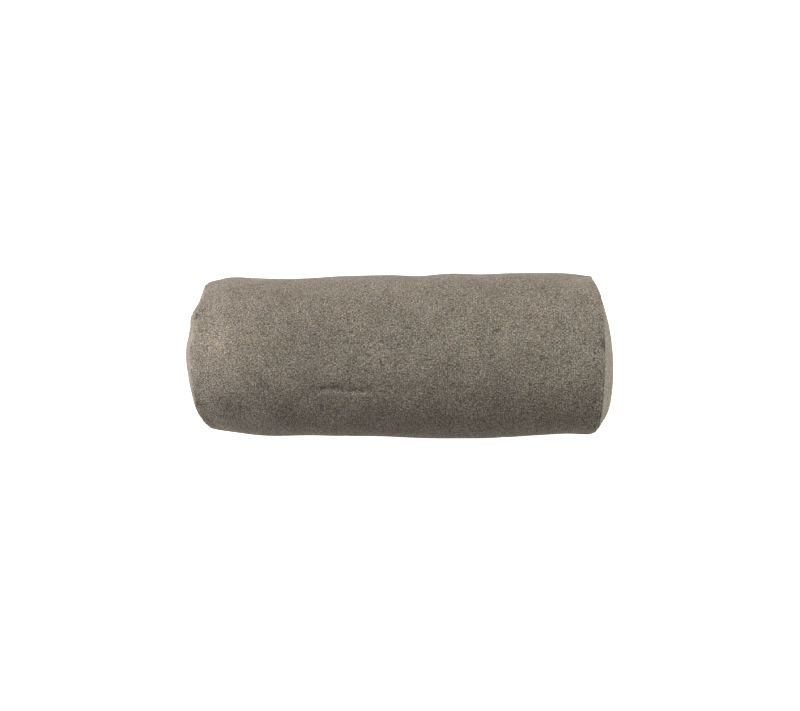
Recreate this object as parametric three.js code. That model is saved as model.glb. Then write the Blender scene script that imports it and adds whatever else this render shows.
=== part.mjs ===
// A round bolster cushion in coarse woollen cloth, lying on its side.
// One filled body carries the tube of cloth, and a crowned round panel closes each end.
// Millimetres, +Z up, +X towards the right end, -Y towards the front.

import * as THREE from "three";

// Driving sizes
const SEAM_TO_SEAM = 478;
const END_CROWN = 20.5;
const CLOTH = 2;
const GAP = 0.4;

// The soft edge that the tube turns over at each end, and how deep the seam lies in it
const ROLL_LENGTH = 11;
const ROLL_DEPTH = 5;
const SEAM_INSET = 6.5;
const SEAM_SINK = 2;
const LIP_DEPTH = 1.2;

// The floor presses the round underside flat, with a soft bend at the patch's border
const FLOOR_BEND = 4;

// Gathers that the end seams draw into the tube, and what makes their spacing uneven
const GATHERS = 19;
const GATHER_DEPTH = 1.1;
const GATHER_REACH = 24;
const GATHER_SWAYS = [
  { waves: 3, size: 1.3 },
  { waves: 5, size: 0.9 },
];

// The lengthwise seam that closes the tube, low on the front
const CLOSING_SEAM_ANGLE = 202.5;
const CLOSING_SEAM_DEPTH = 1.5;
const CLOSING_SEAM_WIDTH = 4;
const CLOSING_SEAM_FADE = 14;

// Steps round the cushion, over each crown, over each rolled edge and along the tube
const COLUMNS = 80;
const CROWN_STEPS = 7;
const ROLL_STEPS = 3;
const LONG_STEP = 24;
const END_STEPS = [5, 11, 18, 27, 39, 55, 75];

const CLOTH_COLOUR = 0x797066;
const CLOTH_ROUGHNESS = 0.95;

// Sections along the tube: its reach behind and in front of the centre line, the height of
// its top, and how much of its round underside the floor takes away
const SECTIONS = [
  { along: -228, back: 94.2, front: 92.6, top: 184, press: 3 },
  { along: -212, back: 97.7, front: 94.4, top: 187, press: 4 },
  { along: -181, back: 97.0, front: 98.0, top: 189, press: 6 },
  { along: -143, back: 95.9, front: 99.0, top: 190, press: 8 },
  { along: -106, back: 96.9, front: 98.7, top: 190, press: 9 },
  { along: -68, back: 99.1, front: 99.2, top: 191, press: 9 },
  { along: -12, back: 100.0, front: 99.5, top: 192, press: 9 },
  { along: 25, back: 98.6, front: 101.2, top: 192, press: 9 },
  { along: 62, back: 101.2, front: 101.5, top: 192, press: 9 },
  { along: 99, back: 100.9, front: 101.5, top: 192, press: 9 },
  { along: 135, back: 101.8, front: 100.4, top: 191, press: 8 },
  { along: 172, back: 101.8, front: 97.2, top: 190, press: 6 },
  { along: 209, back: 100.7, front: 95.2, top: 189, press: 4 },
  { along: 228, back: 98.4, front: 96.4, top: 188, press: 3 },
];

// Soft hollows and creases: the centre along the tube and the angle round it, the half-lengths
// along and round, the depth, and the slant in millimetres along for each one round
const HOLLOWS = [
  { along: -130, angle: 44, length: 9, round: 34, depth: 2.2, slant: 0.45 },
  { along: -228, angle: 24, length: 9, round: 9, depth: 2.4, slant: 0.6 },
  { along: 18, angle: 20, length: 26, round: 30, depth: 1.4, slant: 0 },
  { along: -90, angle: 112, length: 14, round: 7, depth: 1.8, slant: 0 },
  { along: -52, angle: 111, length: 20, round: 7, depth: 1.5, slant: 0.8 },
  { along: -106, angle: 120, length: 9, round: 20, depth: 1.6, slant: -0.9 },
  { along: 152, angle: 128, length: 34, round: 24, depth: 1.6, slant: 0.5 },
  { along: 120, angle: 64, length: 40, round: 22, depth: 1.2, slant: -0.3 },
];

// The two ends: how far the seam is drawn in at the back, how far the crown's tip lies behind
// the middle, how round the crown is at the back and the front, and where its gathers start
const ENDS = [
  {
    name: "end_panel_left",
    side: -1,
    drawnIn: 0.8,
    tipBack: -5,
    backRoundness: 2.2,
    frontRoundness: 2.6,
    turn: 0.4,
  },
  {
    name: "end_panel_right",
    side: 1,
    drawnIn: 2.4,
    tipBack: -18,
    backRoundness: 1.8,
    frontRoundness: 3.0,
    turn: 2.1,
  },
];
const CROWN_FALL = 0.62;

const SECTION_SIZES = ["back", "front", "top", "press"];
const sectionCurve = new THREE.CubicInterpolant(
  SECTIONS.map((row) => row.along),
  SECTIONS.flatMap((row) => SECTION_SIZES.map((size) => row[size])),
  SECTION_SIZES.length,
);

const SEAM = SEAM_TO_SEAM / 2;
const TUBE_END = SEAM - ROLL_LENGTH;
const NOMINAL_RADIUS = 96;

function bell(value) {
  return Math.exp(-value * value);
}

// Signed way round from one angle to another, in millimetres of cloth
function wayRound(angle, from) {
  const turn = THREE.MathUtils.euclideanModulo(angle - from + Math.PI, 2 * Math.PI) - Math.PI;
  return turn * NOMINAL_RADIUS;
}

function hollowDepth(along, angle) {
  return HOLLOWS.reduce((depth, hollow) => {
    const round = wayRound(angle, THREE.MathUtils.degToRad(hollow.angle));
    const aside = along - hollow.along - hollow.slant * round;
    return depth + hollow.depth * bell(aside / hollow.length) * bell(round / hollow.round);
  }, 0);
}

// Uneven gathers, deepest at the seam
function gatherDepth(along, angle) {
  const end = along < 0 ? ENDS[0] : ENDS[1];
  const sways = GATHER_SWAYS.map((row) => row.size * Math.sin(row.waves * angle + end.turn));
  const sway = sways.reduce((sum, part) => sum + part, 0);
  const wave = (1 + Math.cos(GATHERS * angle + sway + end.turn)) / 2;
  const fade = Math.exp((Math.abs(along) - TUBE_END) / GATHER_REACH);
  return GATHER_DEPTH * wave * wave * fade;
}

function closingSeamDepth(along, angle) {
  const round = wayRound(angle, THREE.MathUtils.degToRad(CLOSING_SEAM_ANGLE));
  const fade = THREE.MathUtils.smoothstep(TUBE_END - Math.abs(along), 0, CLOSING_SEAM_FADE);
  return CLOSING_SEAM_DEPTH * bell(round / CLOSING_SEAM_WIDTH) * fade;
}

// The floor stops what would hang below it, over a short soft bend
function settle(height) {
  if (height <= -FLOOR_BEND) {
    return 0;
  }
  if (height >= FLOOR_BEND) {
    return height;
  }
  return (height + FLOOR_BEND) ** 2 / (4 * FLOOR_BEND);
}

// A point on the tube's cloth. The angle runs from the back, over the top, to the front.
function tubePoint(along, angle) {
  const [back, front, top, press] = sectionCurve.evaluate(along);
  const widest = top / 2;
  const across = Math.cos(angle) * (Math.cos(angle) > 0 ? back : front);
  const up = Math.sin(angle) * (Math.sin(angle) > 0 ? top - widest : widest + press);
  const sunk = hollowDepth(along, angle) + gatherDepth(along, angle) + closingSeamDepth(along, angle);
  const keep = 1 - sunk / Math.hypot(across, up);
  return new THREE.Vector3(along, across * keep, settle(widest + up * keep));
}

// A point past the tube, where its end outline is drawn in towards the axis. The share is 1 at
// the outline that lies inset from the tube, and 0 at the crown's tip.
function endPoint(end, angle, inset, out, share = 1) {
  const outline = tubePoint(end.side * TUBE_END, angle);
  const widest = sectionCurve.evaluate(end.side * TUBE_END)[2] / 2;
  const scale = share * (1 - inset / NOMINAL_RADIUS);
  const tipAside = end.tipBack * (1 - share);
  const drawnIn = end.drawnIn * share * (1 + Math.cos(angle)) / 2;
  return new THREE.Vector3(
    end.side * (SEAM + out - drawnIn),
    outline.y * scale + tipAside,
    widest + (outline.z - widest) * scale,
  );
}

// How high the crown stands at a share of the way from its tip to its rim
function crownRise(end, angle, share) {
  const towardsBack = (1 + Math.cos(angle)) / 2;
  const roundness = THREE.MathUtils.lerp(end.frontRoundness, end.backRoundness, towardsBack);
  return (1 - share ** roundness) ** CROWN_FALL;
}

function ring(pointAt) {
  return Array.from({ length: COLUMNS }, (_, column) => pointAt((2 * Math.PI * column) / COLUMNS));
}

function crownShare(step) {
  return Math.sin((Math.PI / 2) * (step / CROWN_STEPS));
}

// Rings of one crowned surface from next to its tip to its rim
function crownRings(end, inset, base, height) {
  return Array.from({ length: CROWN_STEPS }, (_, step) => {
    const share = crownShare(step + 1);
    const outAt = (angle) => base + height * crownRise(end, angle, share);
    return ring((angle) => endPoint(end, angle, inset, outAt(angle), share));
  });
}

// The closed solid through rings in order along +X, with a tip at each end
function solidThrough(rings, firstTip, lastTip) {
  const points = [firstTip, ...rings.flat(), lastTip];
  const faces = [];
  const at = (ringIndex, column) => 1 + ringIndex * COLUMNS + (column % COLUMNS);
  for (let column = 0; column < COLUMNS; column += 1) {
    faces.push(0, at(0, column + 1), at(0, column));
    for (let near = 0; near < rings.length - 1; near += 1) {
      faces.push(at(near, column), at(near, column + 1), at(near + 1, column));
      faces.push(at(near, column + 1), at(near + 1, column + 1), at(near + 1, column));
    }
    const last = rings.length - 1;
    faces.push(points.length - 1, at(last, column), at(last, column + 1));
  }
  const geometry = new THREE.BufferGeometry().setFromPoints(points);
  geometry.setIndex(faces);
  geometry.computeVertexNormals();
  return geometry;
}

function cloth(name, geometry) {
  const material = new THREE.MeshStandardMaterial({
    color: CLOTH_COLOUR,
    roughness: CLOTH_ROUGHNESS,
    metalness: 0,
  });
  const mesh = new THREE.Mesh(geometry, material);
  mesh.name = name;
  return mesh;
}

// The body's end under a panel: its crown, the narrow channel that the panel's edge is sewn
// into, the channel's lip and the rolled edge, from the tip towards the tube
function bodyEndRings(end) {
  const base = -SEAM_SINK - GAP;
  const crown = crownRings(end, SEAM_INSET + CLOTH + GAP, base, END_CROWN + SEAM_SINK - CLOTH);
  const channel = ring((angle) => endPoint(end, angle, SEAM_INSET - GAP, base));
  const lip = ring((angle) => endPoint(end, angle, SEAM_INSET - GAP, -LIP_DEPTH));
  const roll = Array.from({ length: ROLL_STEPS }, (_, step) => {
    const turn = (Math.PI / 2) * (1 - step / ROLL_STEPS);
    const inset = ROLL_DEPTH * (1 - Math.cos(turn));
    return ring((angle) => endPoint(end, angle, inset, ROLL_LENGTH * (Math.sin(turn) - 1)));
  });
  return [...crown, channel, lip, ...roll];
}

function tubeRings() {
  const reach = TUBE_END - END_STEPS.at(-1);
  const middleSteps = Math.round((2 * reach) / LONG_STEP);
  const nearLeft = [0, ...END_STEPS].map((step) => -TUBE_END + step);
  const between = (step) => reach * ((2 * (step + 1)) / middleSteps - 1);
  const middle = Array.from({ length: middleSteps - 1 }, (_, step) => between(step));
  const nearRight = nearLeft.map((along) => -along).reverse();
  return [...nearLeft, ...middle, ...nearRight].map((along) => ring((angle) => tubePoint(along, angle)));
}

function cushionBody() {
  const [left, right] = ENDS;
  const rings = [...bodyEndRings(left), ...tubeRings(), ...bodyEndRings(right).reverse()];
  const [leftTip, rightTip] = ENDS.map((end) => endPoint(end, 0, 0, END_CROWN - CLOTH - GAP, 0));
  return cloth("cushion_body", solidThrough(rings, leftTip, rightTip));
}

// A round panel of cloth, crowned by the filling, with its edge down in the seam
function endPanel(end) {
  const outer = crownRings(end, SEAM_INSET, -SEAM_SINK, END_CROWN + SEAM_SINK);
  const inner = crownRings(end, SEAM_INSET + CLOTH, -SEAM_SINK, END_CROWN + SEAM_SINK - CLOTH);
  const rings = [...outer, ...inner.reverse()];
  const outerTip = endPoint(end, 0, 0, END_CROWN, 0);
  const innerTip = endPoint(end, 0, 0, END_CROWN - CLOTH, 0);
  if (end.side < 0) {
    return cloth(end.name, solidThrough(rings, outerTip, innerTip));
  }
  return cloth(end.name, solidThrough(rings.reverse(), innerTip, outerTip));
}

const bolster = new THREE.Group();
bolster.add(cushionBody(), ...ENDS.map(endPanel));

export default bolster;
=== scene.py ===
import math

import bpy
import numpy as np
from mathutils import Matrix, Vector


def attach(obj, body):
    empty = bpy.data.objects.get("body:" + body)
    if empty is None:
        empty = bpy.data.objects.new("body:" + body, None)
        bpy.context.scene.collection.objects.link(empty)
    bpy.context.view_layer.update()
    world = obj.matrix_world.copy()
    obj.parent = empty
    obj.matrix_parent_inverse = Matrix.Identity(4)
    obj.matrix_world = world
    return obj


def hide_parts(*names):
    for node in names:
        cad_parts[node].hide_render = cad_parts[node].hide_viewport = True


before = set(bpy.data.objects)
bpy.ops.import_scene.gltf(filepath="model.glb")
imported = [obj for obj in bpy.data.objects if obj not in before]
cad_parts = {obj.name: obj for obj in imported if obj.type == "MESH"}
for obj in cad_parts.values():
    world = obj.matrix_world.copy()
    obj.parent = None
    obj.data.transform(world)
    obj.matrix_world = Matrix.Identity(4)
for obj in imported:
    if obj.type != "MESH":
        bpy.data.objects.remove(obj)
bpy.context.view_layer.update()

# The camera looks down on the cushion, turned a little towards its right end
LENS_MM = 50
CAMERA_TURN = math.radians(4)
CAMERA_DISTANCE = 1.377
CAMERA_AIM = Vector((0.0, 0.0006, 0.095))

# Driving sizes of the cushion, and of the disc that each round panel is cut as
CLOTH = 0.0014
NOMINAL_RADIUS = 0.096
TUBE_GIRTH = 0.622

# The end seams lie in a notch between the tube's turned edge and the round panel
SEAM_SINK = 0.0018
SEAM_GAP = 0.0004
NOTCH_WIDTH = 0.0016

# Just outside the notch the filling puffs the panel up into a lip
LIP_OUT = 0.0042
LIP_WIDTH = 0.0026

# The tube's turned edge curls under by this angle, whose cosine is about this far below nought
EDGE_CURL = math.radians(125)
EDGE_CURL_DROP = 0.574

# The floor presses the round underside flat, with a soft bend at the patch's border
FLOOR_BEND = 0.004

# Sections along the tube: its reach behind and in front of the centre line, the height of
# its top, and how much of its round underside the floor takes away
SECTIONS = [
    dict(along=-0.228, back=0.0956, front=0.0937, top=0.1750, press=0.003),
    dict(along=-0.212, back=0.0987, front=0.0961, top=0.1796, press=0.004),
    dict(along=-0.181, back=0.0976, front=0.0992, top=0.1862, press=0.006),
    dict(along=-0.143, back=0.0964, front=0.0998, top=0.1898, press=0.008),
    dict(along=-0.106, back=0.0972, front=0.0995, top=0.1903, press=0.009),
    dict(along=-0.068, back=0.0999, front=0.0996, top=0.1910, press=0.009),
    dict(along=-0.012, back=0.1011, front=0.1002, top=0.1920, press=0.009),
    dict(along=0.025, back=0.0998, front=0.1006, top=0.1920, press=0.009),
    dict(along=0.062, back=0.1021, front=0.1017, top=0.1920, press=0.009),
    dict(along=0.099, back=0.1013, front=0.1016, top=0.1920, press=0.009),
    dict(along=0.135, back=0.1023, front=0.0995, top=0.1910, press=0.008),
    dict(along=0.172, back=0.1022, front=0.0970, top=0.1895, press=0.006),
    dict(along=0.209, back=0.1006, front=0.0951, top=0.1868, press=0.004),
    dict(along=0.228, back=0.0983, front=0.0959, top=0.1838, press=0.003),
]

# Soft hollows and creases: the centre along the tube and the angle round it in degrees, the
# half-lengths along and round, the depth, and the slant along for each metre round. Where the
# depth is below nought, the cloth swells out a little.
HOLLOWS = [
    dict(along=-0.130, angle=44, length=0.009, round=0.034, depth=0.0022, slant=0.45),
    dict(along=-0.228, angle=24, length=0.009, round=0.009, depth=0.0024, slant=0.6),
    dict(along=-0.221, angle=2, length=0.011, round=0.022, depth=-0.0010, slant=0.0),
    dict(along=0.018, angle=20, length=0.026, round=0.030, depth=0.0014, slant=0.0),
    dict(along=-0.072, angle=113, length=0.013, round=0.0036, depth=0.0036, slant=0.0),
    dict(along=-0.040, angle=114.5, length=0.013, round=0.0036, depth=0.0037, slant=0.0),
    dict(along=-0.086, angle=114, length=0.008, round=0.0042, depth=0.0015, slant=-0.5),
    dict(along=-0.106, angle=120, length=0.009, round=0.020, depth=0.0011, slant=-0.9),
    dict(along=-0.188, angle=138, length=0.024, round=0.020, depth=0.0024, slant=0.0),
    dict(along=0.152, angle=128, length=0.034, round=0.024, depth=0.0016, slant=0.5),
    dict(along=0.120, angle=64, length=0.040, round=0.022, depth=0.0012, slant=-0.3),
    dict(along=-0.066, angle=180, length=0.004, round=0.014, depth=0.0011, slant=0.0),
    dict(along=0.126, angle=181, length=0.004, round=0.012, depth=0.0010, slant=0.0),
]

# Gathers that the end seams draw into the tube, and what makes their spacing uneven
GATHERS = 19
GATHER_DEPTH = 0.0011
GATHER_REACH = 0.024
GATHER_SWAYS = [dict(waves=3, size=1.3), dict(waves=5, size=0.9)]

# Small puckers between the gathers, pulled in by the stitches of a seam. Chance picks the
# steps between them, and each one's depth, reach and width against the usual, and its lean.
PUCKERS = 46
PUCKER_DEPTH = 0.0009
PUCKER_REACH = 0.010
PUCKER_WIDTH = 0.0030
PUCKER_STEPS = (0.5, 1.6)
PUCKER_LEAST = (0.2, 0.5, 0.7, -0.35)
PUCKER_MOST = (1.0, 1.7, 1.3, 0.35)

# On a crown the puckers are shallower, and they fade over the last way to its rim
CROWN_PUCKER_SHARE = 0.6
CROWN_PUCKER_FADE = 0.004

# The lengthwise seam that closes the tube, low on the front
CLOSING_ANGLE = math.radians(202.5)
CLOSING_DEPTH = 0.0014
CLOSING_WIDTH = 0.0026
CLOSING_SHOULDER = 0.0004
CLOSING_RIPPLE = 0.0003

# The filling never lies quite evenly under the cloth. Its long waves go round the tube fewer
# times than this, and shift along it by up to this many radians for each metre.
LUMP_SIZE = 0.0006
LUMP_WAVES = 26
LUMP_TURNS = 9
LUMP_PACE = 70
LUMP_SEED = 5

# The two ends: where the seam lies along the tube, the crown's height, the length and depth
# of the edge that the tube turns over, how steeply it starts, how deep the notch and the
# panel's edge lie in from the tube, how far the crown's tip lies behind the middle, how round
# the crown is at the back and the front, how steeply it falls to the rim, how far its lip
# stands out, where its gathers lie and how deep they are, the seed of its puckers, and how
# far down the turned edge the seam's painted shade starts
ENDS = [
    dict(side=-1, name="round_panel_left", node="end_panel_left", seam=0.2431, crown=0.0168,
         roll_length=0.015, roll_depth=0.0012, lean=0.17, notch=0.0070, panel_inset=0.0056,
         tip_back=0.019, back_roundness=1.37, front_roundness=2.24, fall=0.58, lip=0.0014,
         turn=0.4, gathers=1.0, seed=11, shade_down=0.0040),
    dict(side=1, name="round_panel_right", node="end_panel_right", seam=0.2411, crown=0.0172,
         roll_length=0.0026, roll_depth=0.0010, lean=0.15, notch=0.0076, panel_inset=0.0036,
         tip_back=-0.008, back_roundness=1.58, front_roundness=4.9, fall=0.89, lip=0.0026,
         turn=2.1, gathers=0.6, seed=23, shade_down=0.0006),
]

# Places where a seam is drawn in along the tube, or out where the draw is below nought, and
# how far in the tube's cloth follows
DRAW_REACH = 0.060
SEAM_DRAWS = [
    dict(side=1, angle=6, spread=0.030, draw=0.0067),
    dict(side=1, angle=28, spread=0.024, draw=0.0034),
    dict(side=1, angle=115, spread=0.040, draw=0.0009),
    dict(side=1, angle=150, spread=0.040, draw=0.0021),
    dict(side=1, angle=186, spread=0.027, draw=0.0088),
    dict(side=-1, angle=8, spread=0.018, draw=0.0030),
    dict(side=-1, angle=15, spread=0.008, draw=0.0014),
    dict(side=-1, angle=22, spread=0.010, draw=0.0022),
    dict(side=-1, angle=36, spread=0.014, draw=0.0072),
    dict(side=-1, angle=47, spread=0.010, draw=0.0022),
    dict(side=-1, angle=66, spread=0.020, draw=0.0033),
    dict(side=-1, angle=138, spread=0.018, draw=-0.0004),
    dict(side=-1, angle=160, spread=0.022, draw=0.0084),
    dict(side=-1, angle=175, spread=0.014, draw=0.0022),
]

# Places where the tube's turned edge swells out over the seam, or opens and shows it
EDGE_SWELLS = [
    dict(side=-1, angle=18, spread=0.020, push=0.0008, inset=0.0004),
    dict(side=-1, angle=92, spread=0.050, push=0.0, inset=0.0022),
    dict(side=-1, angle=158, spread=0.022, push=0.0002, inset=-0.0022),
    dict(side=1, angle=83, spread=0.008, push=-0.0006, inset=0.0016),
    dict(side=1, angle=139, spread=0.005, push=-0.0004, inset=0.0012),
]

# How dark the painted shade is in each seam's notch, and the places where the seam gapes and
# is painted darker. The painted shade fades out over this reach. By these shares of the reach
# it is shifted towards the seam on the tube's side, and away from it on the panel's.
SEAM_REACH = 0.0040
TUBE_SHADE_SHIFT = 0.5
PANEL_SHADE_SHIFT = -0.2
DARKEST_SEAM_SHADE = 0.9
SEAM_MARKS = [
    dict(side=1, angle=95, spread=0.120, dark=0.50),
    dict(side=1, angle=81, spread=0.008, dark=0.40),
    dict(side=1, angle=72, spread=0.004, dark=0.20),
    dict(side=1, angle=138, spread=0.005, dark=0.35),
    dict(side=-1, angle=58, spread=0.004, dark=0.65),
    dict(side=-1, angle=50, spread=0.003, dark=0.45),
    dict(side=-1, angle=134, spread=0.005, dark=0.50),
]

# Places where the filling pushes a round panel out, or in where the push is below nought. The
# share is how far each lies on the way from the panel's middle to its rim.
PANEL_SWELLS = [
    dict(side=-1, angle=32, share=0.90, spread=0.016, push=-0.0056),
    dict(side=-1, angle=46, share=0.94, spread=0.010, push=0.0022),
    dict(side=-1, angle=57, share=0.88, spread=0.012, push=0.0043),
    dict(side=-1, angle=74, share=0.90, spread=0.014, push=-0.0027),
    dict(side=-1, angle=96, share=0.70, spread=0.034, push=0.0036),
]

# Broad areas painted a little lighter or darker, as painted light and shade where the light falls
# more or less on the tube, such as lighter on its left end and darker on its front side: the
# centre along the tube and the angle round it in degrees, the half-lengths along and round, and
# the change of tone
PAINTED_LIGHT_AND_SHADE = [
    dict(along=-0.222, angle=16, length=0.014, round=0.016, tone=-0.10),
    dict(along=-0.215, angle=86, length=0.042, round=0.038, tone=0.17),
    dict(along=-0.165, angle=12, length=0.022, round=0.014, tone=0.16),
    dict(along=-0.188, angle=52, length=0.022, round=0.014, tone=0.08),
    dict(along=-0.196, angle=128, length=0.036, round=0.026, tone=-0.18),
    dict(along=-0.105, angle=57, length=0.030, round=0.026, tone=-0.10),
    dict(along=-0.095, angle=158, length=0.060, round=0.016, tone=0.14),
    dict(along=-0.055, angle=140, length=0.040, round=0.014, tone=-0.05),
    dict(along=-0.080, angle=94, length=0.034, round=0.026, tone=-0.08),
    dict(along=0.020, angle=72, length=0.030, round=0.020, tone=-0.07),
    dict(along=0.045, angle=52, length=0.060, round=0.012, tone=0.06),
    dict(along=0.040, angle=84, length=0.060, round=0.016, tone=0.03),
    dict(along=0.010, angle=148, length=0.260, round=0.050, tone=-0.27),
    dict(along=0.135, angle=84, length=0.034, round=0.018, tone=0.10),
    dict(along=0.185, angle=66, length=0.040, round=0.022, tone=0.09),
    dict(along=0.194, angle=105, length=0.032, round=0.016, tone=0.13),
    dict(along=0.202, angle=148, length=0.028, round=0.020, tone=-0.13),
    dict(along=0.212, angle=101, length=0.034, round=0.036, tone=0.11),
    dict(along=0.232, angle=28, length=0.026, round=0.032, tone=0.20),
]

# Single thick dark yarns, and painted shade at the spots where the seams gape, given in the same way
DARK_YARNS_AND_SEAM_SHADE = [
    dict(along=-0.0566, angle=65, length=0.0032, round=0.0018, tone=-0.40),
    dict(along=0.0159, angle=71, length=0.0032, round=0.0018, tone=-0.40),
    dict(along=0.1176, angle=73, length=0.0032, round=0.0018, tone=-0.45),
    dict(along=-0.2402, angle=59, length=0.0020, round=0.0042, tone=-0.85),
    dict(along=-0.2342, angle=55, length=0.0018, round=0.0018, tone=-0.60),
    dict(along=-0.2416, angle=64, length=0.0018, round=0.0026, tone=-0.55),
    dict(along=-0.2408, angle=130, length=0.0018, round=0.0040, tone=-0.70),
    dict(along=0.2391, angle=82, length=0.0018, round=0.0070, tone=-0.70),
    dict(along=0.2378, angle=139, length=0.0018, round=0.0034, tone=-0.60),
]

# Low on the front the contrast of the cloth's grain is raised, as painted shade of the light
# lying flat on the weave there, by this share where it is strongest
GRAIN_GAIN = 0.95
GRAIN_ANGLE = math.radians(152)
GRAIN_SPREAD = 0.056

# Steps of the fine cloth: round the cushion, along it, over each rolled edge and crown
COLUMNS = 320
LONG_STEPS = 236
LONG_CROWDING = 0.6
ROLL_STEPS = 9
CROWN_STEPS = 56
LINING_STEPS = 14

# The yarns: those that run round the tube lie this far apart, and those that run along it.
# Each dips under its neighbours and is round across, and the second set is numbered on from
# here, so that no two yarns share a number. They wander this often in a metre.
ROUND_YARN_SPACING = 0.00243
LONG_YARN_SPACING = 0.00211
YARN_DIP = 0.5
YARN_ROUNDNESS = 0.6
LONG_YARN_NUMBERS = 700.0
WANDER_PACE = 90.0

# Chance moves on by these steps from yarn to yarn, for the flecks, the streaks and the thick
# places, which are where the last falls between these two limits
YARN_STEPS = {"Fleck length": 2.37, "Streak length": 2.71, "Slub length": 5.13}
SLUB_LIMITS = (0.24, 0.30)
SLUB_DARKNESS = 0.7

# Near its ends the tube's grain sways along it, this far, this often and over this reach
GRAIN_SWAY = 0.004
GRAIN_SWAY_PACE = 12
LEFT_SWAY_REACH = 0.09
RIGHT_SWAY_REACH = 0.08

# The flat layout of each cloth for baking: metres of the tube across it and the tube's
# distance from its edge, and the scale and centre of a panel's outside and inside
TUBE_LAYOUT_WIDTH = 0.64
TUBE_LAYOUT_EDGE = 0.01
OUTSIDE_LAYOUT = dict(scale=3.2, centre=(0.36, 0.5))
INSIDE_LAYOUT = dict(scale=1.2, centre=(0.85, 0.5))


def bell(value):
    """1 at nought, falling off softly on both sides."""
    return np.exp(-value * value)


def way_round(angle, centre):
    """Signed way round the tube from one angle to another, in metres of cloth."""
    return ((angle - centre + math.pi) % (2 * math.pi) - math.pi) * NOMINAL_RADIUS


def section_size(size, along):
    """One size of the tube at each place along it, smooth between the table's rows."""
    places = np.array([row["along"] for row in SECTIONS])
    values = np.array([row[size] for row in SECTIONS])
    slopes = np.gradient(values, places)
    low = np.clip(np.searchsorted(places, along) - 1, 0, len(places) - 2)
    width = places[low + 1] - places[low]
    share = np.clip((along - places[low]) / width, 0.0, 1.0)
    rest = 1 - share
    near = rest**2 * ((1 + 2 * share) * values[low] + share * width * slopes[low])
    far = share**2 * ((3 - 2 * share) * values[low + 1] - rest * width * slopes[low + 1])
    return near + far


def patch_share(row, along, angle):
    """How strongly a table's soft patch is felt at each place on the tube."""
    round_it = way_round(angle, math.radians(row["angle"]))
    aside = along - row["along"] - row.get("slant", 0.0) * round_it
    return bell(aside / row["length"]) * bell(round_it / row["round"])


def hollow_depth(along, angle):
    """How deep the hollows and creases are at each place on the tube."""
    depth = 0.0
    for row in HOLLOWS:
        depth = depth + row["depth"] * patch_share(row, along, angle)
    return depth


def painted_shade_and_slubs(along, angle):
    """How light the tube's cloth is at each place, against its usual tone: the painted light and
    shade of the broad patches, the thick dark yarns, and the painted shade where seams gape.
    """
    tone = 1.0
    for row in PAINTED_LIGHT_AND_SHADE + DARK_YARNS_AND_SEAM_SHADE:
        tone = tone + row["tone"] * patch_share(row, along, angle)
    return tone


def painted_grain_gain(angle):
    """How much the contrast of the tube's grain is raised at each angle, against its usual
    strength, as painted shade of light lying flat on the weave.
    """
    return 1 + GRAIN_GAIN * bell(way_round(angle, GRAIN_ANGLE) / GRAIN_SPREAD)


def round_the_end(table, size, end, angle):
    """One size of a table's places on one end, softly spread round it."""
    total = 0.0
    for row in table:
        if row["side"] == end["side"]:
            aside = way_round(angle, math.radians(row["angle"]))
            total = total + row[size] * bell(aside / row["spread"])
    return total


def tube_end(end):
    """The place along the tube where its turned edge starts."""
    return end["seam"] - end["roll_length"]


def seam_draw(end, angle):
    """How far one end's seam is drawn in along the tube."""
    return round_the_end(SEAM_DRAWS, "draw", end, angle)


def drawn_along(along, angle):
    """Places along the tube, moved with the seams that are drawn in at its ends."""
    for end in ENDS:
        near = np.clip(1 - (tube_end(end) - end["side"] * along) / DRAW_REACH, 0, 1)
        along = along - end["side"] * seam_draw(end, angle) * near**2 * (3 - 2 * near)
    return along


def painted_seam_shade(end, angle):
    """How dark one end's painted seam shade is at each angle, uneven from stitch to stitch."""
    dark = round_the_end(SEAM_MARKS, "dark", end, angle)
    stitches = np.sin(47 * angle + 2 * np.sin(11 * angle)) * np.sin(19 * angle + end["turn"])
    return np.clip(dark * (0.75 + 0.25 * stitches), 0.0, DARKEST_SEAM_SHADE)


def panel_swell(end, angle, share):
    """How far the filling's swells push out a round panel."""
    pushed = 0.0
    for row in PANEL_SWELLS:
        if row["side"] == end["side"]:
            turned = math.radians(row["angle"])
            across = share * np.cos(angle) - row["share"] * math.cos(turned)
            up = share * np.sin(angle) - row["share"] * math.sin(turned)
            aside = np.hypot(across, up) * NOMINAL_RADIUS
            pushed = pushed + row["push"] * bell(aside / row["spread"])
    return pushed * (1 - share**6)


def gather_depth(end, angle, from_seam):
    """The broad uneven gathers of one end, by the distance from the tube's end."""
    sway = sum(row["size"] * np.sin(row["waves"] * angle + end["turn"]) for row in GATHER_SWAYS)
    wave = (1 + np.cos(GATHERS * angle + sway + end["turn"])) / 2
    return end["gathers"] * GATHER_DEPTH * wave**2 * np.exp(-from_seam / GATHER_REACH)


def pucker_depth(end, angle, from_seam):
    """The small uneven puckers of one end."""
    chance = np.random.default_rng(end["seed"])
    steps = np.cumsum(chance.uniform(*PUCKER_STEPS, PUCKERS))
    centres = steps / steps[-1] * 2 * math.pi
    depth = 0.0
    for centre in centres:
        size, reach, width, lean = chance.uniform(PUCKER_LEAST, PUCKER_MOST)
        aside = way_round(angle, centre) - lean * from_seam
        along_it = np.exp(-from_seam / (PUCKER_REACH * reach))
        depth = depth + PUCKER_DEPTH * size * bell(aside / (PUCKER_WIDTH * width)) * along_it
    return end["gathers"] * depth


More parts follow.
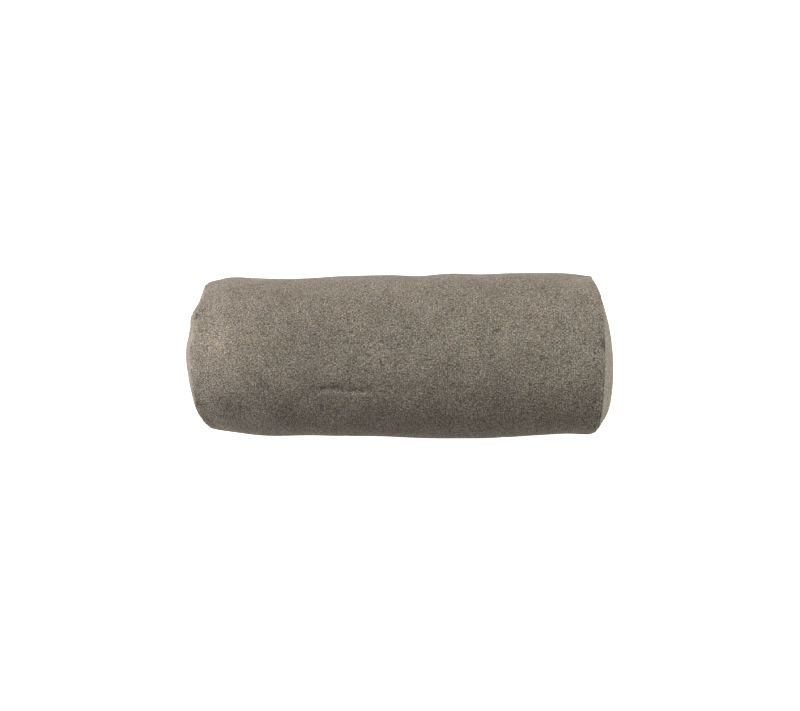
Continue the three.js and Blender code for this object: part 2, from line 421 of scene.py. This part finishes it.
def closing_depth(along, angle):
    """The closing seam's channel, its soft shoulders and the puckers that its stitches pull."""
    aside = way_round(angle, CLOSING_ANGLE)
    channel = bell(aside / CLOSING_WIDTH)
    shoulders = bell((np.abs(aside) - 2.4 * CLOSING_WIDTH) / (1.3 * CLOSING_WIDTH))
    uneven = 0.8 + 0.2 * np.sin(along * 210) + 0.15 * np.sin(along * 517 + 1.3)
    ripple = np.sin(along * 640 + 1.7 * np.sin(along * 150)) * bell(aside / (3 * CLOSING_WIDTH))
    sunk = CLOSING_DEPTH * uneven * channel + CLOSING_RIPPLE * ripple
    return sunk - CLOSING_SHOULDER * shoulders


def lump_depth(along, angle):
    """Long soft waves that the filling leaves."""
    chance = np.random.default_rng(LUMP_SEED)
    depth = 0.0
    for _ in range(LUMP_WAVES):
        turns = chance.integers(0, LUMP_TURNS)
        pace = chance.uniform(-LUMP_PACE, LUMP_PACE)
        depth = depth + np.sin(turns * angle + pace * along + chance.uniform(0, 2 * math.pi))
    return LUMP_SIZE * depth / math.sqrt(LUMP_WAVES)


def settle(height):
    """The floor stops what would hang below it, over a short soft bend."""
    bent = (height + FLOOR_BEND) ** 2 / (4 * FLOOR_BEND)
    return np.where(height <= -FLOOR_BEND, 0.0, np.where(height >= FLOOR_BEND, height, bent))


def tube_points(along, angle):
    """Points on the tube's cloth. The angle runs from the back, over the top, to the front."""
    sizes = (section_size(size, along) for size in ("back", "front", "top", "press"))
    back, front, top, press = sizes
    widest = top / 2
    across = np.cos(angle) * np.where(np.cos(angle) > 0, back, front)
    up = np.sin(angle) * np.where(np.sin(angle) > 0, top - widest, widest + press)
    sunk = hollow_depth(along, angle) + closing_depth(along, angle) + lump_depth(along, angle)
    for end in ENDS:
        from_end = tube_end(end) - end["side"] * along
        sunk = sunk + gather_depth(end, angle, from_end) + pucker_depth(end, angle, from_end)
    keep = 1 - sunk / np.hypot(across, up)
    along = np.broadcast_to(along, keep.shape)
    return np.stack([along, across * keep, settle(widest + up * keep)], axis=-1)


def end_points(end, angle, inset, out, share=1.0):
    """Points past the tube, where its end outline is drawn in towards the axis. The share is 1
    at the outline that lies inset from the tube, and 0 at the crown's tip."""
    place = drawn_along(np.full_like(angle, end["side"] * tube_end(end)), angle)
    outline = tube_points(place, angle)
    widest = section_size("top", place) / 2
    scale = share * (1 - inset / NOMINAL_RADIUS)
    x = end["side"] * (end["seam"] + out - seam_draw(end, angle) * share**3)
    y = outline[..., 1] * scale + end["tip_back"] * (1 - share)
    z = widest + (outline[..., 2] - widest) * scale
    return np.stack([x + 0 * y, y, z], axis=-1)


def crown_rise(end, angle, share):
    """How high the crown stands at a share of the way from its tip to its rim."""
    towards_back = (1 + np.cos(angle)) / 2
    rounder = end["back_roundness"] - end["front_roundness"]
    roundness = end["front_roundness"] + rounder * towards_back
    return (1 - share**roundness) ** end["fall"]


def ring_angles():
    """One turn round the tube, from the closing seam."""
    return CLOSING_ANGLE + 2 * math.pi * np.arange(COLUMNS) / COLUMNS


def solid_through(name, rings, tips, layers):
    """The closed mesh through rings in order along +X, with a tip at each end. The layers are
    maps of the cloth, each with a place for every ring and column, the first column twice."""
    count, columns = rings.shape[:2]
    points = np.concatenate([rings.reshape(-1, 3), tips])
    near, column = np.meshgrid(np.arange(count - 1), np.arange(columns), indexing="ij")
    after = (column + 1) % columns
    quads = np.stack([near * columns + column, near * columns + after,
                      (near + 1) * columns + after, (near + 1) * columns + column], axis=-1)
    first, step = np.arange(columns), (np.arange(columns) + 1) % columns
    start_fan = np.stack([step, first, np.full(columns, count * columns)], axis=-1)
    last = (count - 1) * columns
    end_fan = np.stack([last + first, last + step, np.full(columns, count * columns + 1)], axis=-1)
    mesh = bpy.data.meshes.new(name)
    faces = quads.reshape(-1, 4).tolist() + start_fan.tolist() + end_fan.tolist()
    mesh.from_pydata(points, [], faces)
    for layer, places in layers.items():
        corners = np.stack([places[:-1, :-1], places[:-1, 1:],
                            places[1:, 1:], places[1:, :-1]], axis=2)
        middle = (places[:, :-1] + places[:, 1:]) / 2
        starts = np.stack([places[0, 1:], places[0, :-1], middle[0]], axis=1)
        ends = np.stack([places[-1, :-1], places[-1, 1:], middle[-1]], axis=1)
        flat = np.concatenate([part.reshape(-1, 2) for part in (corners, starts, ends)])
        mesh.uv_layers.new(name=layer).data.foreach_set("uv", flat.astype(np.float32).ravel())
    mesh.shade_smooth()
    piece = bpy.data.objects.new(name, mesh)
    bpy.context.collection.objects.link(piece)
    return piece


def tube_stations():
    """Places along the tube, closer together towards its ends."""
    pace = np.linspace(-1, 1, LONG_STEPS + 1)
    crowded = (1 - LONG_CROWDING) * pace + LONG_CROWDING * np.sin(pace * math.pi / 2)
    left, right = (end["side"] * tube_end(end) for end in ENDS)
    return (left + right) / 2 + (right - left) / 2 * crowded


def edge_rings(end, angle):
    """The turned edge from next to the tube to the bottom of the seam's channel."""
    rings = []
    wall = end["notch"] - SEAM_GAP - end["roll_depth"] - end["lean"] * end["roll_length"]
    push, draw = (round_the_end(EDGE_SWELLS, size, end, angle) for size in ("push", "inset"))
    for turn in np.linspace(0, EDGE_CURL, ROLL_STEPS + 1)[1:]:
        over = min(turn, math.pi / 2)
        under = max(0.0, -math.cos(turn)) / EDGE_CURL_DROP
        inset = end["roll_depth"] * (1 - math.cos(over))
        inset += end["lean"] * end["roll_length"] * math.sin(over)
        inset += wall * under
        out = end["roll_length"] * (math.sin(turn) - 1)
        share = math.sin(over) ** 2 * (1 - under)
        rings.append(end_points(end, angle, inset + draw * share, out + push * share))
    floor_out = -SEAM_SINK - SEAM_GAP
    for inset in (end["notch"] - SEAM_GAP, end["notch"] + CLOTH + SEAM_GAP):
        rings.append(end_points(end, angle, inset, floor_out))
    return rings


def cloth_length(points):
    """The way over the cloth from ring to ring, averaged round the rings."""
    steps = np.linalg.norm(np.diff(points, axis=0), axis=-1).mean(axis=1)
    return np.concatenate([[0.0], np.cumsum(steps)])


def cloth_map(first, second):
    """One map of the cloth from two values at each ring and column."""
    return np.stack(np.broadcast_arrays(first, second), axis=-1)


def tube_layers(rings, angle):
    """The tube's maps: the way along and round it, its flat layout, how near the nearer end seam
    is and how dark its painted shade is, the cloth's tone with its painted light and shade, and
    the painted gain of its grain."""
    along = cloth_length(rings)[:, None]
    turned = np.linspace(0, TUBE_GIRTH, COLUMNS + 1)[None, :]
    ends = bell(along / LEFT_SWAY_REACH) - bell((along[-1] - along) / RIGHT_SWAY_REACH)
    sway = GRAIN_SWAY * np.sin(turned * GRAIN_SWAY_PACE) * ends
    turn = np.append(angle, angle[0])[None, :]
    ways = (along - along[1], along[-2] - along)
    nearer = np.minimum(*(way - end["notch"] + end["shade_down"] for way, end in zip(ways, ENDS)))
    left_dark, right_dark = (painted_seam_shade(end, turn) for end in ENDS)
    dark = np.where(ways[0] < ways[1], left_dark, right_dark)
    place = np.concatenate([rings[..., 0], rings[:, :1, 0]], axis=1)
    return {
        "cloth": cloth_map(along + 0 * turned, turned + sway),
        "OFBake": cloth_map(turned / TUBE_LAYOUT_WIDTH,
                            TUBE_LAYOUT_EDGE + along / TUBE_LAYOUT_WIDTH),
        "seam": cloth_map(nearer / SEAM_REACH + TUBE_SHADE_SHIFT, dark),
        "tone": cloth_map(painted_shade_and_slubs(place, turn), painted_grain_gain(turn)),
    }


def make_tube():
    """The filled tube, with its rolled edges and closed ends."""
    angle = ring_angles()
    left, right = (edge_rings(end, angle) for end in ENDS)
    along = drawn_along(tube_stations()[:, None], angle[None, :])
    rings = np.concatenate([left[::-1], tube_points(along, angle[None, :]), right])
    tips = [end_points(end, np.zeros(1), 0, end["crown"] / 2, 0.0)[0] for end in ENDS]
    return solid_through("wool_tube", rings, tips, tube_layers(rings, angle))


def crown_rings(end, angle, under, steps):
    """Rings of one surface of a round panel from next to its tip to its rim. It lies under
    the outer surface by the thickness given."""
    rings = []
    height = end["crown"] + SEAM_SINK
    for step in range(1, steps + 1):
        share = math.sin(math.pi / 2 * step / steps)
        rise = height * crown_rise(end, angle, share)
        from_rim = (1 - share) * NOMINAL_RADIUS
        puckers = pucker_depth(end, angle, from_rim) + gather_depth(end, angle, 2 * from_rim)
        drawn = (end["notch"] - end["panel_inset"]) * bell(rise / NOTCH_WIDTH)
        drawn = drawn - end["lip"] * bell((rise - LIP_OUT) / LIP_WIDTH)
        out = rise * (1 - under / height) - SEAM_SINK + panel_swell(end, angle, share)
        out = out - CROWN_PUCKER_SHARE * puckers * min(1.0, from_rim / CROWN_PUCKER_FADE)
        rings.append(end_points(end, angle, end["panel_inset"] + drawn + under, out, share))
    return rings


def panel_layers(end, angle, reach):
    """A round panel's maps, as the tube's. The reach is the way from the tip over the outside
    to each ring, and then over the inside, from the rim back."""
    turned = np.append(angle, angle[0] + 2 * math.pi)[None, :]
    cloth = np.stack([reach[:, None] * np.cos(turned), reach[:, None] * np.sin(turned)], axis=-1)
    inside = (np.arange(len(reach)) >= CROWN_STEPS)[:, None, None]
    scale = np.where(inside, INSIDE_LAYOUT["scale"], OUTSIDE_LAYOUT["scale"])
    centre = np.where(inside, INSIDE_LAYOUT["centre"], OUTSIDE_LAYOUT["centre"])
    from_rim = np.abs(reach - reach[CROWN_STEPS - 1])[:, None]
    return {
        "cloth": cloth,
        "OFBake": centre + cloth * scale,
        "seam": cloth_map(from_rim / SEAM_REACH + PANEL_SHADE_SHIFT, painted_seam_shade(end, turned)),
        "tone": 0 * cloth + 1.0,
    }


def make_panel(end):
    """A round panel of cloth, crowned by the filling, with its edge down in the seam."""
    angle = ring_angles()
    outer = crown_rings(end, angle, 0.0, CROWN_STEPS)
    inner = crown_rings(end, angle, CLOTH, LINING_STEPS)
    tip_out = end["crown"] + float(panel_swell(end, 0.0, 0.0))
    tips = [end_points(end, np.zeros(1), 0, out, 0.0)[0] for out in (tip_out, tip_out - CLOTH)]
    over, back = (cloth_length(np.array([0 * side[0] + tip] + side))
                  for side, tip in zip((outer, inner), tips))
    rings = np.array(outer + inner[::-1])
    layers = panel_layers(end, angle, np.concatenate([over[1:], back[:0:-1]]))
    if end["side"] < 0:
        return solid_through(end["name"], rings, tips, layers)
    turned_over = {name: places[::-1] for name, places in layers.items()}
    return solid_through(end["name"], rings[::-1], tips[::-1], turned_over)


def feed(tree, socket, value):
    """An input wired to another node's output, or set to a constant."""
    if isinstance(value, bpy.types.NodeSocket):
        tree.links.new(value, socket)
    else:
        socket.default_value = value


def put(tree, kind, inputs=(), **settings):
    """A node with its settings, and with its inputs set or wired by name or number."""
    made = tree.nodes.new(kind)
    for name, value in settings.items():
        setattr(made, name, value)
    for name, value in dict(inputs).items():
        feed(tree, made.inputs[name], value)
    return made


def calc(tree, operation, *values, clamp=False):
    """The outcome of one calculation on numbers or sockets."""
    made = put(tree, "ShaderNodeMath", enumerate(values), operation=operation, use_clamp=clamp)
    return made.outputs[0]


def stretch(tree, value, low, high, to_low=0.0, to_high=1.0):
    """A value taken from one range to another, and held within it."""
    limits = {"Value": value, "From Min": low, "From Max": high, "To Min": to_low, "To Max": to_high}
    return put(tree, "ShaderNodeMapRange", limits).outputs["Result"]


def blend(tree, share, first, second, mode="MIX"):
    """Two colours mixed by a share."""
    made = put(tree, "ShaderNodeMix", data_type="RGBA", blend_type=mode)
    colours = [socket for socket in made.inputs if socket.type == "RGBA"]
    for socket, value in zip([made.inputs[0]] + colours, [share, first, second]):
        feed(tree, socket, value)
    return next(socket for socket in made.outputs if socket.type == "RGBA")


def grey(tree, light):
    """A grey as light as the value."""
    return put(tree, "ShaderNodeCombineColor", {"Red": light, "Green": light, "Blue": light}).outputs[0]


def flat_spot(tree, across, up):
    """A place on a flat map."""
    return put(tree, "ShaderNodeCombineXYZ", {"X": across, "Y": up}).outputs[0]


def noise(tree, vector, scale, detail=2.0, roughness=0.5, dimensions="3D"):
    """Smooth chance between 0 and 1."""
    settings = {"Vector": vector, "Scale": scale, "Detail": detail, "Roughness": roughness}
    return put(tree, "ShaderNodeTexNoise", settings, noise_dimensions=dimensions).outputs["Fac"]


def new_group(name, inputs, outputs):
    """A shader node group with named inputs and outputs."""
    tree = bpy.data.node_groups.new(name, "ShaderNodeTree")
    for label, value in inputs.items():
        kind = "NodeSocketColor" if isinstance(value, tuple) else "NodeSocketFloat"
        tree.interface.new_socket(label, in_out="INPUT", socket_type=kind).default_value = value
    for label, kind in outputs.items():
        tree.interface.new_socket(label, in_out="OUTPUT", socket_type=kind)
    given = tree.nodes.new("NodeGroupInput").outputs
    wanted = tree.nodes.new("NodeGroupOutput").inputs
    return tree, given, wanted


def plain_weave_group():
    """Over-and-under yarns: those that run round the tube and those that run along it."""
    tree, given, wanted = new_group(
        "plain_weave",
        {"Along": 0.0, "Round": 0.0, "Round yarn spacing": 0.002, "Long yarn spacing": 0.002,
         "Yarn width": 0.95, "Wander": 0.2},
        {"Height": "NodeSocketFloat", "Round yarn on top": "NodeSocketFloat",
         "Yarn number": "NodeSocketFloat", "Way along yarn": "NodeSocketFloat"},
    )
    place = flat_spot(tree, given["Along"], given["Round"])
    wander = put(tree, "ShaderNodeTexNoise", {"Vector": place, "Scale": WANDER_PACE, "Detail": 1.0})
    swung = put(tree, "ShaderNodeSeparateColor", {"Color": wander.outputs["Color"]}).outputs
    sides = []
    for way, spacing, swing in (("Along", "Round yarn spacing", 0), ("Round", "Long yarn spacing", 1)):
        count = calc(tree, "DIVIDE", given[way], given[spacing])
        off = calc(tree, "MULTIPLY", calc(tree, "SUBTRACT", swung[swing], 0.5), given["Wander"])
        sides.append(calc(tree, "ADD", count, off))
    numbers = [calc(tree, "FLOOR", side) for side in sides]
    heights = []
    for own, other, sign in ((0, 1, 1.0), (1, 0, -1.0)):
        beat = calc(tree, "MULTIPLY", calc(tree, "ADD", sides[other], numbers[own]), math.pi)
        rise = calc(tree, "MULTIPLY", calc(tree, "SINE", beat), YARN_DIP * sign)
        aside = calc(tree, "SUBTRACT", calc(tree, "FRACT", sides[own]), 0.5)
        share = calc(tree, "DIVIDE", calc(tree, "MULTIPLY", aside, 2.0), given["Yarn width"])
        left = calc(tree, "SUBTRACT", 1.0, calc(tree, "MULTIPLY", share, share), clamp=True)
        rounded = calc(tree, "MULTIPLY", calc(tree, "SQRT", left), YARN_ROUNDNESS)
        heights.append(calc(tree, "ADD", rise, rounded))
    round_height, long_height = heights
    on_top = calc(tree, "GREATER_THAN", round_height, long_height)
    under = calc(tree, "SUBTRACT", 1.0, on_top)
    number = calc(tree, "ADD", calc(tree, "MULTIPLY", numbers[0], on_top),
                  calc(tree, "MULTIPLY", calc(tree, "ADD", numbers[1], LONG_YARN_NUMBERS), under))
    way = calc(tree, "ADD", calc(tree, "MULTIPLY", given["Round"], on_top),
               calc(tree, "MULTIPLY", given["Along"], under))
    top = calc(tree, "MAXIMUM", round_height, long_height)
    for label, value in (("Height", stretch(tree, top, -0.2, 1.1)), ("Round yarn on top", on_top),
                         ("Yarn number", number), ("Way along yarn", way)):
        tree.links.new(value, wanted[label])
    return tree


def mixed_yarn_group():
    """Yarn spun from dark, middling and light wool, with flecks and thick dark places."""
    tree, given, wanted = new_group(
        "mixed_wool_yarn",
        {"Along": 0.0, "Round": 0.0, "Yarn number": 0.0, "Way along yarn": 0.0,
         "Round yarn on top": 0.0, "Dark wool": (0.05, 0.045, 0.04, 1.0),
         "Middle wool": (0.18, 0.16, 0.13, 1.0),
         "Light wool": (0.5, 0.46, 0.4, 1.0), "Fleck length": 0.001, "Streak length": 0.008,
         "Slub length": 0.006, "Contrast": 1.0, "Streak share": 0.5, "Cross tone": 0.05,
         "Speck size": 0.0015, "Specks": 0.5},
        {"Color": "NodeSocketColor", "Slub": "NodeSocketFloat"},
    )
    found = []
    for length, step in YARN_STEPS.items():
        across = calc(tree, "MULTIPLY", given["Yarn number"], step)
        on = calc(tree, "DIVIDE", given["Way along yarn"], given[length])
        spot = flat_spot(tree, across, on)
        found.append(calc(tree, "SUBTRACT", noise(tree, spot, 1.0, 0.0, dimensions="2D"), 0.5))
    fleck, streak, slub = found
    both = calc(tree, "ADD", fleck, calc(tree, "MULTIPLY", streak, given["Streak share"]))
    spot = flat_spot(tree, *(calc(tree, "DIVIDE", given[way], given["Speck size"])
                             for way in ("Along", "Round")))
    speck = calc(tree, "SUBTRACT", noise(tree, spot, 1.0, 1.0, 0.65, "2D"), 0.5)
    uneven = calc(tree, "ADD", calc(tree, "MULTIPLY", both, given["Contrast"]),
                  calc(tree, "MULTIPLY", speck, given["Specks"]))
    tone = calc(tree, "ADD", uneven, 0.5)
    side = calc(tree, "SUBTRACT", given["Round yarn on top"], 0.5)
    tone = calc(tree, "ADD", tone, calc(tree, "MULTIPLY", side, given["Cross tone"]))
    thick = stretch(tree, slub, *SLUB_LIMITS)
    lower = blend(tree, stretch(tree, tone, 0.1, 0.5), given["Dark wool"], given["Middle wool"])
    upper = blend(tree, stretch(tree, tone, 0.5, 0.9), lower, given["Light wool"])
    dark = blend(tree, calc(tree, "MULTIPLY", thick, SLUB_DARKNESS), upper, given["Dark wool"])
    tree.links.new(dark, wanted["Color"])
    tree.links.new(thick, wanted["Slub"])
    return tree


def mottle_group():
    """The slow drift of tone over a length of cloth, and between warm brown and cool grey."""
    tree, given, wanted = new_group(
        "mottled_tone",
        {"Along": 0.0, "Round": 0.0, "Patch size": 0.03, "Amount": 0.12, "Warmth": 0.1},
        {"Tone": "NodeSocketColor"},
    )
    place = flat_spot(tree, given["Along"], given["Round"])
    scaled = put(tree, "ShaderNodeVectorMath", {0: place, "Scale": 1.0}, operation="SCALE")
    tree.links.new(calc(tree, "DIVIDE", 1.0, given["Patch size"]), scaled.inputs["Scale"])
    drift = calc(tree, "SUBTRACT", noise(tree, scaled.outputs[0], 1.0, 4.0, 0.55), 0.5)
    level = calc(tree, "ADD", 1.0, calc(tree, "MULTIPLY", drift, given["Amount"]))
    warm = calc(tree, "SUBTRACT", noise(tree, scaled.outputs[0], 2.3, 3.0, 0.6), 0.5)
    warmer = calc(tree, "MULTIPLY", warm, given["Warmth"])
    tone = put(tree, "ShaderNodeCombineColor", {
        "Red": calc(tree, "ADD", level, warmer),
        "Green": level,
        "Blue": calc(tree, "SUBTRACT", level, warmer),
    }).outputs[0]
    tree.links.new(tone, wanted["Tone"])
    return tree


def fuzz_group():
    """Loose fibres that stand out of the yarns."""
    tree, given, wanted = new_group(
        "loose_fibres", {"Along": 0.0, "Round": 0.0, "Fibre size": 0.0004}, {"Height": "NodeSocketFloat"}
    )
    size = calc(tree, "DIVIDE", 1.0, given["Fibre size"])
    spot = flat_spot(tree, *(calc(tree, "MULTIPLY", given[way], size) for way in ("Along", "Round")))
    tree.links.new(noise(tree, spot, 1.0, 3.0, 0.6, "2D"), wanted["Height"])
    return tree


def seam_shade_group():
    """The painted shade down in a seam's notch, fading over the cloth beside it."""
    tree, given, wanted = new_group(
        "seam_shade", {"Color": (0.2, 0.2, 0.2, 1.0), "From seam": 1.0, "Darkness": 0.5},
        {"Color": "NodeSocketColor"},
    )
    near = stretch(tree, given["From seam"], 0.3, 1.0, 1.0, 0.0)
    left = calc(tree, "SUBTRACT", 1.0, calc(tree, "MULTIPLY", near, given["Darkness"]))
    shaded = blend(tree, 1.0, given["Color"], grey(tree, left), "MULTIPLY")
    tree.links.new(shaded, wanted["Color"])
    return tree


# The wool's colours, then its grain, yarns, tones, fibres and relief, and how it takes light
WOOL = dict(
    dark=(0.0715, 0.0552, 0.0397, 1.0),
    middle=(0.2205, 0.1750, 0.1312, 1.0),
    light=(0.550, 0.466, 0.380, 1.0),
    grain_turn=0.0,
    yarn_width=0.98,
    wander=0.18,
    fleck_length=0.0012,
    streak_length=0.007,
    slub_length=0.005,
    streak_share=0.45,
    speck_size=0.0015,
    specks=1.06,
    cross_tone=0.065,
    contrast=0.46,
    patch_size=0.035,
    mottle=0.66,
    warmth=0.19,
    fibre_size=0.0004,
    fibre_relief=0.25,
    slub_relief=0.35,
    gap_shade=0.55,
    relief=0.0004,
    smoothest=0.82,
    roughest=0.98,
    shine=0.25,
    sheen=0.15,
    sheen_roughness=0.45,
    sheen_tint=(1.0, 0.95, 0.88, 1.0),
)
PANEL_GRAIN_TURN = math.radians(12)


def wool_material(name, groups, looks):
    """Matt woollen cloth from the shared weave, yarn, tone and fibre groups."""
    material = bpy.data.materials.new(name)
    material.use_nodes = True
    tree = material.node_tree
    shader = tree.nodes["Principled BSDF"]

    def use(group, values):
        return put(tree, "ShaderNodeGroup", values, node_tree=groups[group]).outputs

    def read_map(layer_name):
        return put(tree, "ShaderNodeUVMap", uv_map=layer_name).outputs["UV"]

    turned = put(tree, "ShaderNodeVectorRotate",
                 {"Vector": read_map("cloth"), "Angle": looks["grain_turn"]},
                 rotation_type="Z_AXIS").outputs[0]
    place = put(tree, "ShaderNodeSeparateXYZ", {0: turned}).outputs
    spot = {"Along": place["X"], "Round": place["Y"]}
    weave = use("weave", {**spot, "Round yarn spacing": ROUND_YARN_SPACING,
                          "Long yarn spacing": LONG_YARN_SPACING, "Yarn width": looks["yarn_width"],
                          "Wander": looks["wander"]})
    # The tone map holds the broad painted light and shade with the thick dark yarns, and how much the
    # grain's contrast is raised as painted shade low on the front
    area, grain = put(tree, "ShaderNodeSeparateXYZ", {0: read_map("tone")}).outputs[:2]
    yarn = use("yarn", {**spot, "Yarn number": weave["Yarn number"],
                        "Way along yarn": weave["Way along yarn"],
                        "Round yarn on top": weave["Round yarn on top"], "Dark wool": looks["dark"],
                        "Middle wool": looks["middle"], "Light wool": looks["light"],
                        "Fleck length": looks["fleck_length"], "Streak length": looks["streak_length"],
                        "Slub length": looks["slub_length"],
                        "Contrast": calc(tree, "MULTIPLY", grain, looks["contrast"]),
                        "Streak share": looks["streak_share"], "Cross tone": looks["cross_tone"],
                        "Speck size": looks["speck_size"],
                        "Specks": calc(tree, "MULTIPLY", grain, looks["specks"])})
    tone = use("mottle", {**spot, "Patch size": looks["patch_size"], "Amount": looks["mottle"],
                          "Warmth": looks["warmth"]})["Tone"]
    fibres = use("fuzz", {**spot, "Fibre size": looks["fibre_size"]})["Height"]
    # The gaps between the yarns are painted darker, as painted shade
    painted_gap_shade = stretch(tree, weave["Height"], 0.05, 0.75, looks["gap_shade"], 1.0)
    shade = blend(tree, 1.0, tone, grey(tree, calc(tree, "MULTIPLY", area, painted_gap_shade)), "MULTIPLY")
    plain = blend(tree, 1.0, yarn["Color"], shade, "MULTIPLY")
    # Painted shade down in the seams' notches and where they gape
    near = put(tree, "ShaderNodeSeparateXYZ", {0: read_map("seam")}).outputs
    colour = use("seam", {"Color": plain, "From seam": near["X"], "Darkness": near["Y"]})["Color"]
    loose = calc(tree, "MULTIPLY", fibres, looks["fibre_relief"])
    thick = calc(tree, "MULTIPLY", yarn["Slub"], looks["slub_relief"])
    raised = calc(tree, "ADD", calc(tree, "ADD", weave["Height"], loose), thick)
    bump = put(tree, "ShaderNodeBump", {"Height": raised, "Strength": 1.0, "Distance": looks["relief"]})
    rough = stretch(tree, fibres, 0.3, 0.7, looks["smoothest"], looks["roughest"])
    for label, value in (
            ("Base Color", colour), ("Normal", bump.outputs["Normal"]), ("Roughness", rough),
            ("Specular IOR Level", looks["shine"]), ("Sheen Weight", looks["sheen"]),
            ("Sheen Roughness", looks["sheen_roughness"]), ("Sheen Tint", looks["sheen_tint"])):
        feed(tree, shader.inputs[label], value)
    return material


# The surroundings: the floor's size, how far it lies below the cushion, its colour, which
# throws warm light up at the cloth, how it glows to the camera, and the faint light of the sky
FLOOR_SIZE = 8.0
FLOOR_DROP = 0.0003
FLOOR_COLOUR = (0.92, 0.82, 0.72, 1.0)
FLOOR_ROUGHNESS = 0.9
FLOOR_GLOW = 1.0
SKY = 0.01
WHITE = (1.0, 1.0, 1.0, 1.0)

# Soft round lights: where each hangs, as degrees round from +X and up from the floor, and its
# power and tint. The weak warm one in front keeps the shadow low on the front from going dull.
LIGHT_SIZE = 1.5
LIGHT_DISTANCE = 2.4
LIGHTS = [
    dict(name="high_light", azimuth=90, height=62, power=8, tint=(1.0, 1.0, 1.0)),
    dict(name="front_light", azimuth=270, height=25, power=2.6, tint=(1.35, 1.0, 0.6)),
    dict(name="back_left_light", azimuth=150, height=25, power=31, tint=(0.965, 1.0, 1.025)),
    dict(name="back_right_light", azimuth=40, height=30, power=21, tint=(0.965, 1.0, 1.025)),
    dict(name="left_light", azimuth=180, height=15, power=61, tint=(0.93, 1.0, 1.075)),
    dict(name="right_light", azimuth=0, height=15, power=44, tint=(0.855, 0.99, 1.05)),
]


def floor_material():
    """A pale warm floor that glows to the camera alone, so that it looks evenly lit."""
    material = bpy.data.materials.new("pale_floor")
    material.use_nodes = True
    tree = material.node_tree
    shader = tree.nodes["Principled BSDF"]
    seen = put(tree, "ShaderNodeLightPath").outputs["Is Camera Ray"]
    for label, value in (
            ("Base Color", FLOOR_COLOUR), ("Roughness", FLOOR_ROUGHNESS),
            ("Specular IOR Level", 0.0), ("Emission Color", WHITE),
            ("Emission Strength", calc(tree, "MULTIPLY", seen, FLOOR_GLOW))):
        feed(tree, shader.inputs[label], value)
    return material


def add_light(row):
    """One soft round light, facing the cushion."""
    data = bpy.data.lights.new(row["name"], "AREA")
    data.shape = "DISK"
    data.size = LIGHT_SIZE
    data.energy = row["power"]
    data.color = row["tint"]
    lamp = bpy.data.objects.new(row["name"], data)
    around, up = math.radians(row["azimuth"]), math.radians(row["height"])
    away = Vector((math.cos(up) * math.cos(around), math.cos(up) * math.sin(around), math.sin(up)))
    lamp.location = CAMERA_AIM + LIGHT_DISTANCE * away
    lamp.rotation_euler = away.to_track_quat("Z", "Y").to_euler()
    bpy.context.collection.objects.link(lamp)


def add_camera():
    """The camera above the cushion."""
    data = bpy.data.cameras.new("camera")
    data.lens = LENS_MM
    camera = bpy.data.objects.new("camera", data)
    away = Vector((math.sin(CAMERA_TURN), 0.0, math.cos(CAMERA_TURN)))
    camera.location = CAMERA_AIM + CAMERA_DISTANCE * away
    camera.rotation_euler = (0.0, CAMERA_TURN, 0.0)
    bpy.context.collection.objects.link(camera)
    bpy.context.scene.camera = camera


def add_surroundings():
    """The faint sky, the lights and the floor."""
    scene = bpy.context.scene
    scene.view_settings.view_transform = "Standard"
    world = bpy.data.worlds.new("soft_sky")
    world.use_nodes = True
    sky = world.node_tree.nodes["Background"]
    sky.inputs["Color"].default_value = WHITE
    sky.inputs["Strength"].default_value = SKY
    scene.world = world
    for row in LIGHTS:
        add_light(row)
    bpy.ops.mesh.primitive_plane_add(size=FLOOR_SIZE, location=(0.0, 0.0, -FLOOR_DROP))
    floor = bpy.context.object
    floor.name = "floor"
    floor.data.materials.append(floor_material())


add_camera()
groups = {
    "weave": plain_weave_group(),
    "yarn": mixed_yarn_group(),
    "mottle": mottle_group(),
    "fuzz": fuzz_group(),
    "seam": seam_shade_group(),
}
tube_wool = wool_material("tube_wool", groups, WOOL)
panel_wool = wool_material("panel_wool", groups, {**WOOL, "grain_turn": PANEL_GRAIN_TURN})

tube = make_tube()
tube.data.materials.append(tube_wool)
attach(tube, "root")
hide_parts("cushion_body")

for end in ENDS:
    panel = make_panel(end)
    panel.data.materials.append(panel_wool)
    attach(panel, "root")
    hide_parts(end["node"])

add_surroundings()
